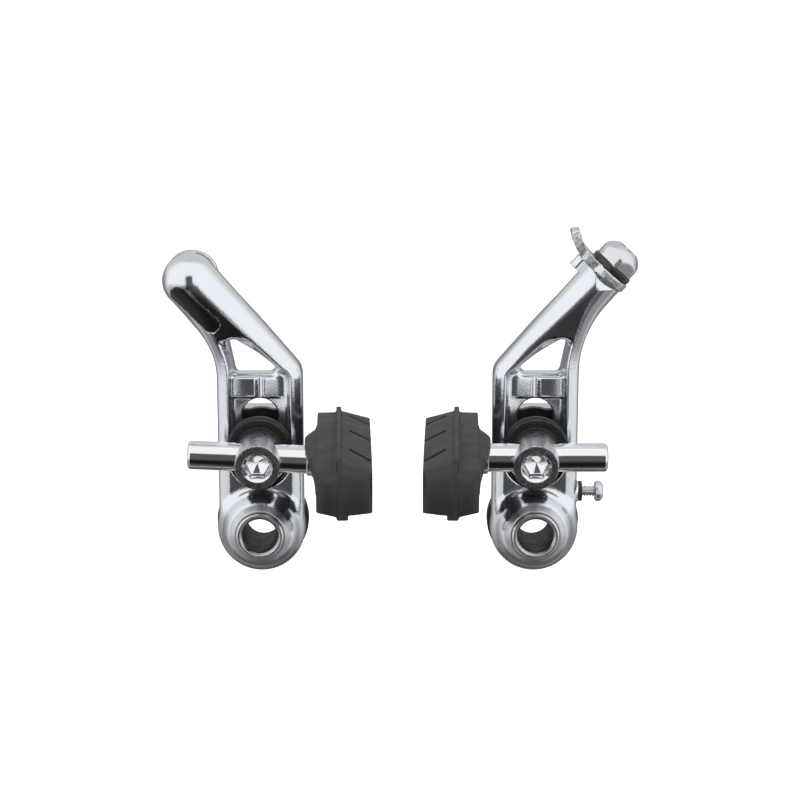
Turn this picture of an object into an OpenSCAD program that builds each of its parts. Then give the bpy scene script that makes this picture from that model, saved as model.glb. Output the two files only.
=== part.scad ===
// A cantilever rim brake: the pair of cast arms for one wheel, each with its shoe.
// Each arm is drawn seen from the front, x across and y up, with z towards the viewer.
// The part itself has Z up and the pivots along Y, with the left pivot at the origin.

/* [Pivots] */
// Distance between the two pivot axes
pivot_spacing = 62.6; // [58:0.2:80]
// Diameter of the pivot bore, for the boss on the fork
bore_d = 8; // [7:0.1:9]
// Wall of the pivot bush
bush_wall = 1.4; // [1:0.1:1.8]
// Length of the pivot bush
bush_length = 16; // [15:0.1:18]
// Running clearance of round fits, on the radius
fit_gap = 0.05; // [0.02:0.01:0.1]
// Gap between faces that move past each other
face_gap = 0.25; // [0.2:0.05:0.4]

/* [Arm] */
// Radius of the rounded lower end
hub_r = 10.1; // [9.8:0.1:11]
// Half the width of the arm over its two rails
arm_half = 9.8; // [9.5:0.1:10.2]
// Height of the back face over the rear end of the bush
arm_back = 3; // [2.6:0.1:3.4]
// Height of the recessed web's front
web_front = 7.2; // [6.8:0.1:7.6]
// Height of the rails' round front
rail_front = 10; // [9.4:0.1:10.6]
// Width of a rail
rail_w = 3; // [2.6:0.1:3.2]
// Radius of the nose's front end, around the bush
nose_r = 6.7; // [6.5:0.1:7.4]
// Length of bush that stands out of the nose
bush_proud = 0.6; // [0.3:0.1:1]
// Width of the slot for the eye bolt
slot_w = 8.2; // [7.4:0.1:8.6]
// Height of the slot's lower end over the pivot
slot_low = 12.4; // [12:0.1:13]
// Height of the slot's upper end over the pivot
slot_high = 30.2; // [29:0.1:31]
// Height of the pocket's round lower end over the pivot
pocket_low = 9.4; // [9:0.1:9.8]

/* [Head] */
// Place of the head's centre, left of the pivot
head_x = 15.3; // [14:0.1:16.5]
// Height of the head's centre over the pivot
head_y = 57.2; // [54:0.1:60]
// Radius of the head
head_r = 6.4; // [6.2:0.1:7]
// Height of the head's centre over the rear end of the bush
head_z = 6.2; // [6:0.1:6.6]
// Radius of the pocket for the cable end
cable_end_r = 3.3; // [3:0.1:3.5]
// Width of the slit that lets the cable in
slit_w = 2; // [1.6:0.1:2.4]
// Length of the black badge
badge_l = 14; // [10:0.5:15]
// Width of the black badge
badge_w = 3.7; // [3:0.1:4]

/* [Eye bolt] */
// Height of the eye bolt over the pivot
eye_h = 19.4; // [18.5:0.1:20]
// Diameter of the eye bolt's barrel
barrel_d = 10; // [9.6:0.1:11]
// Length of the barrel
barrel_l = 13.4; // [12.5:0.1:15]
// Distance of the shoe post behind the barrel's face
post_depth = 8.6; // [8:0.1:9]
// Diameter of the eye bolt's shank
shank_d = 6; // [5:0.1:6.5]
// Size of the hexagonal sockets, across flats
socket_af = 5; // [4:0.1:5.5]
// Diameter of the black washers
washer_d = 14.9; // [13:0.1:15]
// Thickness of the dished washer
dish_h = 4; // [3.4:0.1:4.4]
// Thickness of the serrated washer
serrated_h = 2.2; // [1.8:0.1:2.6]
// Number of serrations
serrations = 36; // [24:1:48]
// Thickness of the rear washer
rear_washer_h = 1.6; // [1.2:0.1:2]
// Height of the rear washer's straight top edge over the bolt's axis
rear_washer_top = 7; // [6:0.1:7.4]
// Thickness of the lock nut
nut_h = 5; // [4:0.1:6]
// Size of the lock nut, across flats
nut_af = 13.8; // [12:0.2:14.4]

/* [Shoe] */
// Diameter of the shoe post
post_d = 6.4; // [6:0.1:6.6]
// Place of the post's free end, outside the pivot
post_out = 15.6; // [12:0.1:20]
// Place of the pad's back face, inside the pivot
pad_back = 13.3; // [13:0.1:15]
// Place of the rib's outer side, inside the pivot
rib_back = 18; // [17:0.1:18.6]
// Width of the rib
rib_w = 1.7; // [1.2:0.1:2.2]
// Place of the braking face, inside the pivot
pad_face = 25.4; // [24:0.1:25.6]
// Length of the pad
pad_l = 48; // [40:0.5:52]
// Place of the pad's near end over the post's axis
pad_near = 26.6; // [22:0.1:28]
// Height of the pad at its rib
pad_h = 14.2; // [12:0.1:15]
// Radius of the curve that the pad follows, that of the rim
pad_curve = 300; // [250:1:340]
// Width of the pad's water grooves
groove_w = 1; // [0.6:0.1:1.6]

/* [Cable anchor] */
// Diameter of the anchor bolt's shank
anchor_d = 5; // [4:0.1:5]
// Diameter of the rubber ring under the anchor bolt's head
ring_d = 10.2; // [9:0.1:11]
// Thickness of the rubber ring
ring_h = 1.4; // [1:0.1:2]
// Thickness of the anchor plate
plate_h = 2.2; // [1.6:0.1:2.6]
// Height of the anchor bolt's head
anchor_head_h = 5.4; // [4.6:0.1:6]
// Size of the anchor bolt's head, across flats
anchor_af = 9; // [8:0.5:9.5]

/* [Spring] */
// Diameter of the spring wire
wire_d = 1.2; // [1:0.1:1.3]
// Wall of the spring cover
cover_wall = 1; // [0.8:0.1:1.2]
// Diameter of the tension screw
tension_d = 2.5; // [2:0.1:3]
// Height of the tension screw over the pivot
tension_y = 7.9; // [7.4:0.1:8.4]

/* [Hidden] */
$fn = 64;
// Overlap that lets two solids of one piece merge, and lets a cut pass a face
e = 0.02;
// Length of a cut that passes right through
through = 40;
bush_r = bore_d / 2 + bush_wall;
nose_front = bush_length - bush_proud;
hub_front = 9;
nose_step = 1.2;
rail_x = arm_half - rail_w / 2;
pocket_r = arm_half - rail_w + 0.5;
// Outer rail, up from the hub and round to the head: where it bends, radius, turn, straight run
left_bend = [35, 18.3, 43.4, 9];
right_bend = [36.5, 24, 33.5, 6];
// Inner rail: up from the hub, round a tight corner, then straight to the head
limb_turn = 39.7;
limb_dir = [-sin(limb_turn), cos(limb_turn)];
limb_normal = [cos(limb_turn), sin(limb_turn)];
corner_r = 3.5;
corner_y = 35.4;
corner_end = [rail_x - corner_r + corner_r * cos(limb_turn), corner_y + corner_r * sin(limb_turn)];

function bend_end(bend) = [-rail_x - bend[1] * (1 - cos(bend[2])), bend[0] + bend[1] * sin(bend[2])];

function bend_dir(bend) = [-sin(bend[2]), cos(bend[2])];

head = [-head_x, head_y];
limb_top = [4 - head_x, head_y - 4.6];
foot_r = 2.7;
limb_foot = corner_end - 1.2 * limb_normal;
// Hook behind the left head
flange_back = -0.4;
flange_r = 6;
slit_back = 1.6;
cable_end_l = 6;
badge_turn = -44;
badge_at = [1.2 - head_x, head_y - 5.5];
badge_z = head_z + 4.7;
badge_h = 0.8;
// Window above the cross bar
window_r = 1.2;
window = [[-5.6, 43.2], [-4.4, 37.2], [2.2, 37.2]];
bar_low = 30.6;
bar_high = 35.4;
// Places along the eye bolt's axis
dish_back = web_front + 0.05;
dish_front = dish_back + dish_h;
serrated_front = dish_front + serrated_h;
barrel_front = serrated_front + barrel_l;
post_z = barrel_front - post_depth;
rear_front = arm_back - 0.05;
nut_front = rear_front - rear_washer_h;
pad_middle = post_z + pad_near - pad_l / 2;
// Spring room behind the hub
cavity_r = 8.4;
cavity_z = 5;
cover_front = arm_back - face_gap;
spring_back = cover_wall + wire_d / 2 + 0.1;
spring_pitch = wire_d + 0.08;
spring_turns = 2;
spring_r = bush_r + 1.4;
spring_steps = 20;
wire_sides = 8;
// Right limb, made round for the anchor bolt
anchor_turn = 42;
anchor_axis = [-sin(anchor_turn), cos(anchor_turn)];
anchor_across = [cos(anchor_turn), sin(anchor_turn)];
anchor_seat = [0.6 - head_x, head_y + 1];
anchor_limb_r = 5;
anchor_z = 6.4;
anchor_hole_l = 13;
anchor_limb_l = 26;
lug_r = 1.6;
lug_z = 3;
tension_z = 6;

// Places a piece drawn on the left arm
module left() {
    rotate([90, 0, 0]) children();
}

// Places a piece drawn on the left arm on the right one, mirrored
module right() {
    translate([pivot_spacing, 0, 0]) mirror([1, 0, 0]) rotate([90, 0, 0]) children();
}

// A tube or ring between two heights
module ring(outer_r, inner_r, low, high) {
    translate([0, 0, low]) difference() {
        cylinder(r = outer_r, h = high - low);
        translate([0, 0, -1]) cylinder(r = inner_r, h = high - low + 2);
    }
}

// A flat slot outline between two heights on the arm's middle line
module slot_shape(width, low, high) {
    translate([0, low + width / 2]) circle(d = width);
    translate([0, high - width / 2]) circle(d = width);
    translate([-width / 2, low + width / 2]) square([width, high - low - width]);
}

// Section of a rail: flat behind, round in front
module rail_section(width, front) {
    translate([-width / 2, arm_back]) square([width, front - width / 2 - arm_back]);
    translate([0, front - width / 2]) circle(d = width);
}

module straight_rail(from, to, width, front) {
    run = to - from;
    translate([from[0], from[1], 0]) rotate([0, 0, atan2(run[1], run[0])]) rotate([90, 0, 90])
        linear_extrude(norm(run)) rail_section(width, front);
}

module curved_rail(centre, radius, from, turn, width, front) {
    translate([centre[0], centre[1], 0]) rotate([0, 0, from])
        rotate_extrude(angle = turn, $fn = 96) translate([radius, 0]) rail_section(width, front);
}

// Direction of the line from one point to another
function heading(a, b) = atan2(b[1] - a[1], b[0] - a[0]);

// Triangle with round corners, the opening over the cross bar
module window_shape() {
    steps = 6;
    polygon([
        for (i = [0:2])
            let (before = heading(window[(i + 2) % 3], window[i]),
                after = heading(window[i], window[(i + 1) % 3]),
                sweep = (after - before + 360) % 360)
            for (k = [0:steps])
                let (a = before - 90 + sweep * k / steps) window[i] + window_r * [cos(a), sin(a)]
    ]);
}

// Web, rails, hub and nose, shared by both arms
module arm_frame(bend) {
    difference() {
        union() {
            translate([0, 0, arm_back]) cylinder(r = hub_r, h = hub_front - arm_back);
            translate([0, 0, hub_front - e])
                cylinder(r1 = hub_r - 0.2, r2 = nose_r, h = nose_front - nose_step - hub_front + e);
            translate([0, 0, nose_front - nose_step - e]) cylinder(r = nose_r, h = nose_step + e);
            // Solid foot between the hub and the round end of the pocket
            translate([0, 0, arm_back]) linear_extrude(hub_front - arm_back) difference() {
                translate([-rail_x, 0]) square([2 * rail_x, pocket_low + pocket_r]);
                translate([0, pocket_low + pocket_r]) circle(r = pocket_r);
            }
            // Web of the channel, up to the cross bar
            translate([-rail_x, 4, arm_back]) cube([2 * rail_x, bar_high - 4, web_front - arm_back]);
            translate([-rail_x, bar_low, arm_back]) cube([2 * rail_x, bar_high - bar_low, 8.2 - arm_back]);
            // Web of the limb, around the window
            translate([0, 0, arm_back]) linear_extrude(web_front - arm_back)
                polygon([[-rail_x, bar_high - 1], [rail_x - 0.3, bar_high - 1],
                    corner_end - 0.4 * limb_normal, limb_top + limb_normal,
                    limb_top - 3 * limb_normal, bend_end(bend)]);
            straight_rail([-rail_x, 0], [-rail_x, bend[0]], rail_w, rail_front);
            curved_rail([-rail_x - bend[1], bend[0]], bend[1], 0, bend[2], rail_w, rail_front);
            straight_rail(bend_end(bend), bend_end(bend) + bend[3] * bend_dir(bend), rail_w, rail_front);
            straight_rail([rail_x, 0], [rail_x, corner_y], rail_w, rail_front);
            curved_rail([rail_x - corner_r, corner_y], corner_r, 0, limb_turn, rail_w, rail_front);
            straight_rail(corner_end, corner_end + 6 * limb_dir, rail_w, rail_front);
        }
        translate([0, 0, -1]) linear_extrude(through) slot_shape(slot_w, slot_low, slot_high);
        translate([0, 0, -1]) linear_extrude(through) window_shape();
        translate([0, 0, -1]) cylinder(r = bush_r + fit_gap, h = through);
        translate([0, 0, -1]) cylinder(r = cavity_r, h = cavity_z + 1);
    }
}

// Places a piece that is drawn along a limb, with z towards the limb's end
module along(point, turn, z) {
    translate([point[0], point[1], z]) rotate([0, 0, turn]) rotate([-90, 0, 0]) children();
}

// Limb with a ball end, and behind it the hook with its pocket and slit for the cable's end
module left_arm() {
    color("gainsboro") left() difference() {
        union() {
            arm_frame(left_bend);
            hull() {
                translate([head[0], head[1], head_z]) sphere(r = head_r, $fn = 40);
                translate([limb_foot[0], limb_foot[1], head_z]) sphere(r = foot_r, $fn = 24);
            }
            // Rear flange of the hook
            translate([head[0], head[1], flange_back]) cylinder(r = flange_r, h = 4);
        }
        translate([head[0], head[1], flange_back - 1]) cylinder(r = cable_end_r, h = 1 + cable_end_l);
        // Slit from the pocket out through the inner edge
        translate([head[0], head[1], slit_back]) rotate([0, 0, limb_turn]) translate([0, -9, 0])
            cube([head_r + 3, 12.6, slit_w]);
        badge_recess();
    }
}

module badge_outline(length, width) {
    rotate(badge_turn) {
        translate([-(length - width) / 2, 0]) circle(d = width);
        translate([(length - width) / 2, 0]) circle(d = width);
        square([length - width, width], center = true);
    }
}

// Shallow seat of the badge
module badge_recess() {
    translate([badge_at[0], badge_at[1], badge_z]) linear_extrude(10) badge_outline(badge_l, badge_w);
}

module left_badge() {
    color("black") left() translate([badge_at[0], badge_at[1], badge_z]) linear_extrude(badge_h)
        badge_outline(badge_l - 0.1, badge_w - 0.1);
}

// Round limb that ends in a flat seat, bored for the anchor bolt
module right_arm() {
    lug = anchor_seat + 5.4 * anchor_across;
    color("gainsboro") right() difference() {
        union() {
            arm_frame(right_bend);
            along(anchor_seat, anchor_turn, anchor_z) hull() {
                translate([0, 0, -4])
                    cylinder(r1 = anchor_limb_r + 0.5, r2 = anchor_limb_r, h = 4, $fn = 40);
                translate([0, 0, 2 - anchor_hole_l])
                    cylinder(r = anchor_limb_r + 0.5, h = 1, $fn = 40);
                translate([0, 0, -anchor_limb_l]) sphere(r = foot_r, $fn = 24);
            }
            // Lug that stops the plate from turning
            along(lug, anchor_turn, lug_z) translate([0, 0, -3]) cylinder(r = lug_r, h = 3);
        }
        along(anchor_seat, anchor_turn, anchor_z) translate([0, 0, -anchor_hole_l])
            cylinder(d = anchor_d + 2 * fit_gap, h = anchor_hole_l + 1);
        translate([-20, tension_y, tension_z]) rotate([0, 90, 0])
            cylinder(d = tension_d + 2 * fit_gap, h = 20 - cavity_r + 2);
    }
}

// Places a piece along the anchor bolt's axis, at a distance from the seat
module anchor_along(distance) {
    along(anchor_seat, anchor_turn, anchor_z) translate([0, 0, distance]) children();
}

module pivot_bush() {
    color("silver") difference() {
        cylinder(r = bush_r, h = bush_length);
        translate([0, 0, -1]) cylinder(d = bore_d, h = bush_length + 2);
    }
}

module left_pivot_bush() {
    left() pivot_bush();
}

module right_pivot_bush() {
    right() pivot_bush();
}

// Shallow black cup that closes the spring's room
module spring_cover() {
    color("black") {
        ring(hub_r + 0.5, bush_r, 0, cover_wall);
        ring(hub_r + 0.5, hub_r - 0.7, cover_wall - e, cover_front);
    }
}

module left_spring_cover() {
    left() spring_cover();
}

module right_spring_cover() {
    right() spring_cover();
}

// Points of the spring's coil, and the tube around them
function coil_point(i) = let (a = 360 * i / spring_steps)
    [spring_r * cos(a), spring_r * sin(a), spring_back + spring_pitch * i / spring_steps];

function coil_ring(i) = let (a = 360 * i / spring_steps, p = coil_point(i)) [
    for (k = [0:wire_sides - 1]) let (b = 360 * k / wire_sides)
        p + wire_d / 2 * [cos(b) * cos(a), cos(b) * sin(a), sin(b)]
];

module return_spring() {
    last = spring_turns * spring_steps;
    points = [for (i = [0:last]) each coil_ring(i)];
    sides = [for (i = [0:last - 1], k = [0:wire_sides - 1]) let (n = (k + 1) % wire_sides)
        [i * wire_sides + k, i * wire_sides + n, (i + 1) * wire_sides + n, (i + 1) * wire_sides + k]];
    first_cap = [for (k = [wire_sides - 1:-1:0]) k];
    last_cap = [for (k = [0:wire_sides - 1]) last * wire_sides + k];
    color("dimgray") polyhedron(points, concat([first_cap], sides, [last_cap]));
}

module left_return_spring() {
    left() return_spring();
}

module right_return_spring() {
    right() return_spring();
}

module hexagon(flats) {
    circle(d = flats / cos(30), $fn = 6);
}

// Barrel with the cross hole for the post, a socket in front and a shank behind
module eye_bolt() {
    color("lightgray") translate([0, eye_h, 0]) difference() {
        union() {
            translate([0, 0, serrated_front]) cylinder(d = barrel_d, h = barrel_l - 0.4);
            translate([0, 0, barrel_front - 0.4 - e])
                cylinder(d1 = barrel_d, d2 = barrel_d - 0.6, h = 0.4 + e);
            translate([0, 0, nut_front - nut_h - 1.2])
                cylinder(d = shank_d, h = serrated_front - nut_front + nut_h + 2);
        }
        translate([0, 0, barrel_front - 3.6]) linear_extrude(5) hexagon(socket_af);
        translate([0, 0, barrel_front - 0.5]) cylinder(d1 = socket_af + 0.4, d2 = socket_af + 1.6, h = 0.6);
        translate([0, 0, post_z]) rotate([0, 90, 0])
            cylinder(d = post_d + 2 * fit_gap, h = through, center = true);
    }
}

module left_eye_bolt() {
    left() eye_bolt();
}

module right_eye_bolt() {
    right() eye_bolt();
}

// Black washer with fine radial teeth on its front
module serrated_washer() {
    tooth = 0.46;
    color("dimgray") translate([0, eye_h, dish_front]) difference() {
        ring(washer_d / 2 - 0.3, shank_d / 2 + fit_gap, 0, serrated_h);
        for (i = [0:serrations - 1]) {
            rotate([0, 0, 360 * i / serrations]) translate([barrel_d / 2 + 0.2, 0, serrated_h])
                rotate([45, 0, 0]) translate([0, -tooth / 2, -tooth / 2]) cube([washer_d, tooth, tooth]);
        }
    }
}

module left_serrated_washer() {
    left() serrated_washer();
}

module right_serrated_washer() {
    right() serrated_washer();
}

// Black washer with a rounded back that seats in the pocket
module dished_washer() {
    foot_d = washer_d - 3.6;
    flare_h = 1.3;
    rim_h = 1.05;
    color("dimgray") translate([0, eye_h, dish_back]) difference() {
        union() {
            cylinder(d = foot_d, h = dish_h - rim_h - flare_h + e);
            translate([0, 0, dish_h - rim_h - flare_h]) cylinder(d1 = foot_d, d2 = washer_d, h = flare_h);
            translate([0, 0, dish_h - rim_h - e]) cylinder(d = washer_d, h = rim_h + e);
        }
        translate([0, 0, -1]) cylinder(d = shank_d + 2 * fit_gap, h = dish_h + 2);
    }
}

module left_dished_washer() {
    left() dished_washer();
}

module right_dished_washer() {
    right() dished_washer();
}

// Round washer with a straight top edge, which the slot's width guides
module rear_washer() {
    color("dimgray") translate([0, eye_h, nut_front]) difference() {
        union() {
            cylinder(d = washer_d, h = rear_washer_h);
            translate([-4.6, 0, 0]) cube([9.2, rear_washer_top, rear_washer_h]);
        }
        translate([0, 0, -1]) cylinder(r = shank_d / 2 + fit_gap, h = rear_washer_h + 2);
    }
}

module left_rear_washer() {
    left() rear_washer();
}

module right_rear_washer() {
    right() rear_washer();
}

// Hexagonal nut with one flat on top
module lock_nut() {
    color("silver") translate([0, eye_h, nut_front - nut_h]) difference() {
        linear_extrude(nut_h) hexagon(nut_af);
        translate([0, 0, -1]) cylinder(d = shank_d, h = nut_h + 2);
    }
}

module left_lock_nut() {
    left() lock_nut();
}

module right_lock_nut() {
    right() lock_nut();
}

// Polished bar with a flared collar against the pad
module shoe_post() {
    collar = 1.9;
    color("silver") translate([0, eye_h, post_z]) rotate([0, 90, 0]) {
        translate([0, 0, -post_out + 0.6]) cylinder(d = post_d, h = post_out + pad_back - 0.6);
        translate([0, 0, -post_out]) cylinder(d1 = post_d - 1.2, d2 = post_d, h = 0.6 + e);
        translate([0, 0, pad_back - collar]) cylinder(d1 = post_d, d2 = post_d + 1.6, h = collar / 2);
        translate([0, 0, pad_back - collar / 2 - e]) cylinder(d = post_d + 1.6, h = collar / 2 + e);
    }
}

module left_shoe_post() {
    left() shoe_post();
}

module right_shoe_post() {
    right() shoe_post();
}

// Section of the pad: distance from the pivot across, then height over its middle
function pad_section() = let (half = pad_h / 2, rib_front = rib_back + rib_w) [
    [pad_back, half - 1.6], [pad_back + 1, half - 0.6], [rib_back, half - 0.4],
    [rib_back, half], [rib_front, half], [rib_front, half - 0.7],
    [pad_face, half - 2.2], [pad_face, 2 - half], [rib_front, 1 - half],
    [rib_front, -half], [rib_back, -half], [pad_back, 1 - half]
];

// Moulded block that follows the rim, with a shoulder at the post and water grooves
module brake_pad() {
    half_angle = asin(pad_l / 2 / pad_curve);
    color([0.22, 0.22, 0.23]) difference() {
        union() {
            translate([0, eye_h - pad_curve, pad_middle]) rotate([90, 0, 90]) rotate([0, 0, -half_angle])
                rotate_extrude(angle = 2 * half_angle, $fn = 720)
                    polygon([for (p = pad_section()) [pad_curve + p[1], p[0]]]);
            pad_shoulder();
        }
        for (i = [-1:1]) {
            translate([rib_back + rib_w + 0.6, eye_h, post_z - 2 + 15 * i]) rotate([0, -43, 0])
                translate([0, -pad_h, -groove_w / 2]) cube([10, 2 * pad_h, groove_w]);
        }
    }
}

// Flared lip over the post, highest beside it and running out along the pad
module pad_shoulder() {
    flare = 2.5;
    deep = 2.1;
    top = eye_h + pad_h / 2 - 0.9;
    far = post_z - 4;
    near = post_z + pad_near - 3;
    intersection() {
        // Seen from above
        translate([0, top - deep, 0]) rotate([-90, 0, 0]) linear_extrude(deep) polygon([
            [rib_back + 0.5, -far + 7], [pad_back, -far], [pad_back - flare, -post_z - 2],
            [pad_back, -near], [rib_back + 0.5, -near]
        ]);
        // Seen along the pad
        translate([0, 0, far - 9]) linear_extrude(near - far + 20) polygon([
            [pad_back - flare, top], [pad_back, top - deep],
            [rib_back + 1, top - deep], [rib_back + 1, top]
        ]);
    }
}

module left_brake_pad() {
    left() brake_pad();
}

module right_brake_pad() {
    right() brake_pad();
}

// Domed hexagonal head with a socket, and the shank that screws into the limb
module anchor_bolt() {
    seat = plate_h + ring_h;
    color("silver") right() anchor_along(seat) difference() {
        union() {
            intersection() {
                linear_extrude(anchor_head_h) hexagon(anchor_af);
                translate([0, 0, anchor_head_h - 8]) sphere(r = 8);
            }
            translate([0, 0, -seat - anchor_hole_l + 1.5]) cylinder(d = anchor_d, h = seat + anchor_hole_l);
        }
        translate([0, 0, anchor_head_h - 2.6]) linear_extrude(5) hexagon(socket_af - 0.5);
    }
}

module anchor_ring() {
    color("black") right() anchor_along(plate_h)
        ring(ring_d / 2, anchor_d / 2 + fit_gap, 0, ring_h);
}

// Plate that presses the cable on the seat, with a bent tab
module anchor_plate() {
    tab_r = 14;
    tab_w = 6.8;
    color("silver") right() anchor_along(0) difference() {
        union() {
            cylinder(d = ring_d + 0.8, h = plate_h);
            translate([0, -ring_d / 2 + 0.6, 0]) cube([7, ring_d - 1.2, plate_h]);
            // Tab bent back over the limb's inner side
            translate([7 - e, 0, tab_r + plate_h]) rotate([90, 0, 0]) translate([0, 0, -tab_w / 2])
                rotate([0, 0, -90]) rotate_extrude(angle = 36, $fn = 96)
                    translate([tab_r, 0]) square([plate_h, tab_w]);
        }
        translate([0, 0, -1]) cylinder(r = anchor_d / 2 + fit_gap, h = plate_h + 2);
    }
}

// Small pan-head screw that sets the spring's tension
module tension_screw() {
    head_at = 15.9;
    color("silver") right() translate([-head_at, tension_y, tension_z]) rotate([0, 90, 0]) difference() {
        union() {
            cylinder(d = 4.8, h = 1.2);
            translate([0, 0, -0.8]) cylinder(d1 = 3.4, d2 = 4.8, h = 0.8 + e);
            cylinder(d = tension_d, h = head_at - cavity_r - 0.5);
        }
        translate([0, 0, -2]) linear_extrude(2) hexagon(2);
    }
}

// Black block in the rail that keeps the screw from turning by itself
module tension_block() {
    color("black") right() translate([-arm_half - 1.2, tension_y, tension_z]) rotate([0, 90, 0])
        ring(2.3, tension_d / 2 + fit_gap, 0, 1.15);
}

left_arm();
left_pivot_bush();
left_spring_cover();
left_return_spring();
left_eye_bolt();
left_serrated_washer();
left_dished_washer();
left_rear_washer();
left_lock_nut();
left_shoe_post();
left_brake_pad();
left_badge();
right_arm();
right_pivot_bush();
right_spring_cover();
right_return_spring();
right_eye_bolt();
right_serrated_washer();
right_dished_washer();
right_rear_washer();
right_lock_nut();
right_shoe_post();
right_brake_pad();
anchor_bolt();
anchor_ring();
anchor_plate();
tension_screw();
tension_block();
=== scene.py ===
"""Looks of the cantilever brake: surfaces, finishes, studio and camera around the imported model."""

import math

import bpy
import numpy as np
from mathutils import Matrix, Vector


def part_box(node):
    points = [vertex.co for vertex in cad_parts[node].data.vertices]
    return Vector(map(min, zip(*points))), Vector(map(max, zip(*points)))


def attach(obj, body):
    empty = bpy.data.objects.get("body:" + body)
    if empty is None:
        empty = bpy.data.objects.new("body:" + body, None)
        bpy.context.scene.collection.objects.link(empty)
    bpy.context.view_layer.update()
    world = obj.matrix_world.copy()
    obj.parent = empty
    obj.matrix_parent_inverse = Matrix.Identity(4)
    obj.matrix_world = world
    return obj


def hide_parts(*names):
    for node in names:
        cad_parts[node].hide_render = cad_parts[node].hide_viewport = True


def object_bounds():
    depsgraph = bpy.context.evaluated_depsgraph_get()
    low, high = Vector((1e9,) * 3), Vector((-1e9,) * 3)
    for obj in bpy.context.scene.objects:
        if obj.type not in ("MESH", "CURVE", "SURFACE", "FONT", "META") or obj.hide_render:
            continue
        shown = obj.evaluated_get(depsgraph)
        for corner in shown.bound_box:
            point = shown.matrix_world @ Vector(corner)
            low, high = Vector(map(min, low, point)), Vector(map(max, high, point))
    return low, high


bl_info = {
    "name": "Cantilever brake",
    "version": (1, 0, 0),
    "blender": (4, 5, 0),
    "location": "View3D > Sidebar > Brake",
    "description": "Dresses the packed pair of brake arms and sets up the studio",
    "category": "Object",
}

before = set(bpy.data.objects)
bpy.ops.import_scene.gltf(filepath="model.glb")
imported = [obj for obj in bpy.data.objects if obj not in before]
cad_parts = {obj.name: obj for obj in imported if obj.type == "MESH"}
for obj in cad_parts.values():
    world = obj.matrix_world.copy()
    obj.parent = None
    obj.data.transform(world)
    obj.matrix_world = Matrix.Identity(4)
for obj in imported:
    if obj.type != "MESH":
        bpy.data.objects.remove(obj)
cad_low, cad_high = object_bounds()

MM = 0.001
# Distance between the two pivot axes, in millimetres
PIVOT_SPACING = (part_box("right_pivot_bush")[0].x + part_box("right_pivot_bush")[1].x) / 2 / MM
BUSH_LENGTH = -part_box("left_pivot_bush")[0].y / MM
BUSH_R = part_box("left_pivot_bush")[1].x / MM
EYE_H = (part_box("left_eye_bolt")[0].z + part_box("left_eye_bolt")[1].z) / 2 / MM
POST_Z = -(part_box("left_shoe_post")[0].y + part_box("left_shoe_post")[1].y) / 2 / MM
POST_OUT = -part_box("left_shoe_post")[0].x / MM
POST_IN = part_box("left_shoe_post")[1].x / MM
BARREL_FRONT = -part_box("left_eye_bolt")[0].y / MM
SHANK_BACK = -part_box("left_eye_bolt")[1].y / MM


class ArmSizes(bpy.types.PropertyGroup):
    """Sizes of the two cast arms."""

    half_width: bpy.props.FloatProperty(
        name="Half width", description="Half the width over the two rails", default=9.8 * MM, unit="LENGTH"
    )
    back: bpy.props.FloatProperty(
        name="Back", description="Height of the back face over the rear end of the bush",
        default=3 * MM, unit="LENGTH",
    )
    web_front: bpy.props.FloatProperty(
        name="Web front", description="Height of the recessed web's front", default=7.2 * MM, unit="LENGTH"
    )
    rail_front: bpy.props.FloatProperty(
        name="Rail front", description="Height of the rails' front", default=10 * MM, unit="LENGTH"
    )
    rail_width: bpy.props.FloatProperty(
        name="Rail width", description="Width of a rail and radius of its outer round",
        default=3 * MM, unit="LENGTH",
    )
    hub_radius: bpy.props.FloatProperty(
        name="Hub radius", description="Radius of the rounded lower end", default=10.1 * MM, unit="LENGTH"
    )
    fillet: bpy.props.FloatProperty(
        name="Fillet", description="Blend between the cast surfaces", default=1 * MM, unit="LENGTH"
    )
    mesh_step: bpy.props.FloatProperty(
        name="Mesh step", description="Edge length of the arms' mesh", default=0.3 * MM, unit="LENGTH"
    )


class FinishColours(bpy.types.PropertyGroup):
    """Colours of the visible finishes."""

    alloy: bpy.props.FloatVectorProperty(
        name="Alloy", description="Polished cast alloy", default=(0.83, 0.85, 0.905), subtype="COLOR"
    )
    steel: bpy.props.FloatVectorProperty(
        name="Steel", description="Plated and satin steel", default=(0.72, 0.73, 0.75), subtype="COLOR"
    )
    rubber: bpy.props.FloatVectorProperty(
        name="Rubber", description="Brake pads", default=(0.036, 0.036, 0.039), subtype="COLOR"
    )
    black: bpy.props.FloatVectorProperty(
        name="Black parts", description="Washers, covers and badge",
        default=(0.02, 0.02, 0.021), subtype="COLOR",
    )


class StudioSettings(bpy.types.PropertyGroup):
    """Camera and light."""

    camera_place: bpy.props.FloatVectorProperty(
        name="Camera place", description="Where the camera stands", default=(0.03181, -0.492237, 0.155247),
        subtype="TRANSLATION", unit="LENGTH",
    )
    pitch: bpy.props.FloatProperty(
        name="Pitch", description="How far the camera looks down", default=math.radians(14.5), subtype="ANGLE"
    )
    focal_length: bpy.props.FloatProperty(
        name="Focal length", description="Camera lens in millimetres", default=99.225
    )
    panel_level: bpy.props.FloatProperty(
        name="Panel level", description="Brightness of the white panels in the metal",
        default=1.0, min=0, max=2,
    )


# Fields: signed distances in millimetres, x across, y up and z towards the viewer, as the arm is drawn


def smooth_min(a, b, k):
    h = np.clip(0.5 + 0.5 * (b - a) / k, 0, 1)
    return b * (1 - h) + a * h - k * h * (1 - h)


def smooth_max(a, b, k):
    return -smooth_min(-a, -b, k)


def ramp(value, low, high):
    t = np.clip((value - low) / (high - low), 0, 1)
    return t * t * (3 - 2 * t)


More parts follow.
